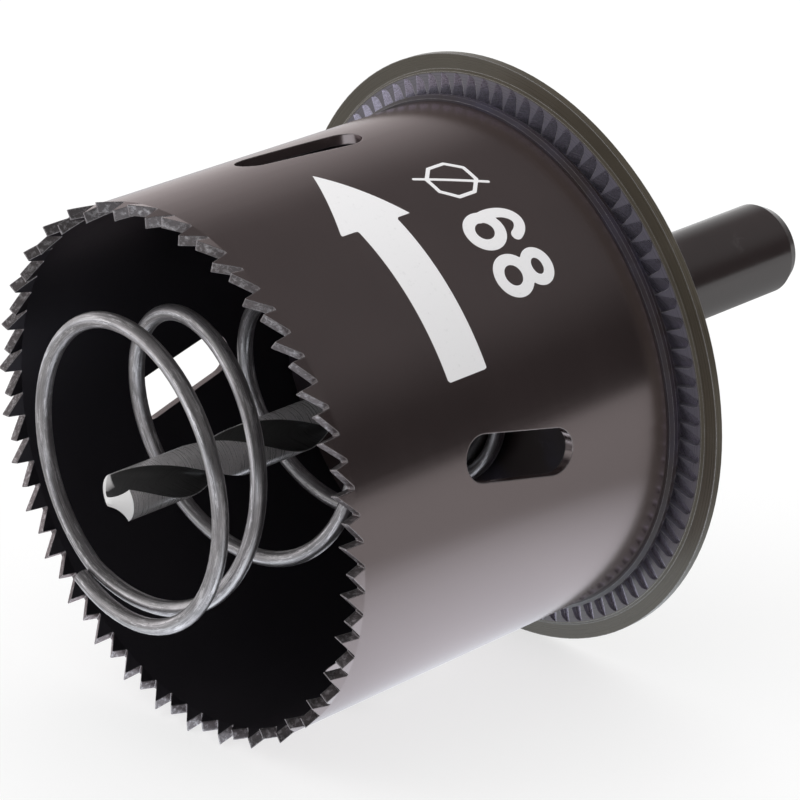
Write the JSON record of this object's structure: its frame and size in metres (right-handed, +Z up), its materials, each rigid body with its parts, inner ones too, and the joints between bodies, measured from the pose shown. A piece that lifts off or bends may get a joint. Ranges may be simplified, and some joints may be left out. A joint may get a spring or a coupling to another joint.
{
  "type": "hole saw",
  "caption": "Toothed steel cup with slanted chip slots, a milled countersink disc, a plain shank, a pilot drill and an ejector spring, lying on its side.",
  "frame": {"origin": "centre of the bounding box's bottom, on the surface that the saw lies on", "axes": "+Z up, +Y from the teeth towards the shank along the floor, +X to the right when looking along +Y; the spin axis leans 5.4 degrees, teeth lower"},
  "size_m": [0.078, 0.1128, 0.0778],
  "materials": {
    "bronzed_steel": "satin oxide, worn bright on the ground tips",
    "dark_steel": "black oxide, satin",
    "screw_steel": "black oxide",
    "bright_steel": "ground bright",
    "spring_steel": "drawn wire"
  },
  "bodies": {
    "root": {"saw_cup": "bronzed_steel", "base_plate": "dark_steel", "countersink_disc": "dark_steel", "arbor": "dark_steel", "grub_screw": "screw_steel", "pilot_drill": "bright_steel", "ejector_spring": "spring_steel"}
  },
  "joints": []
}
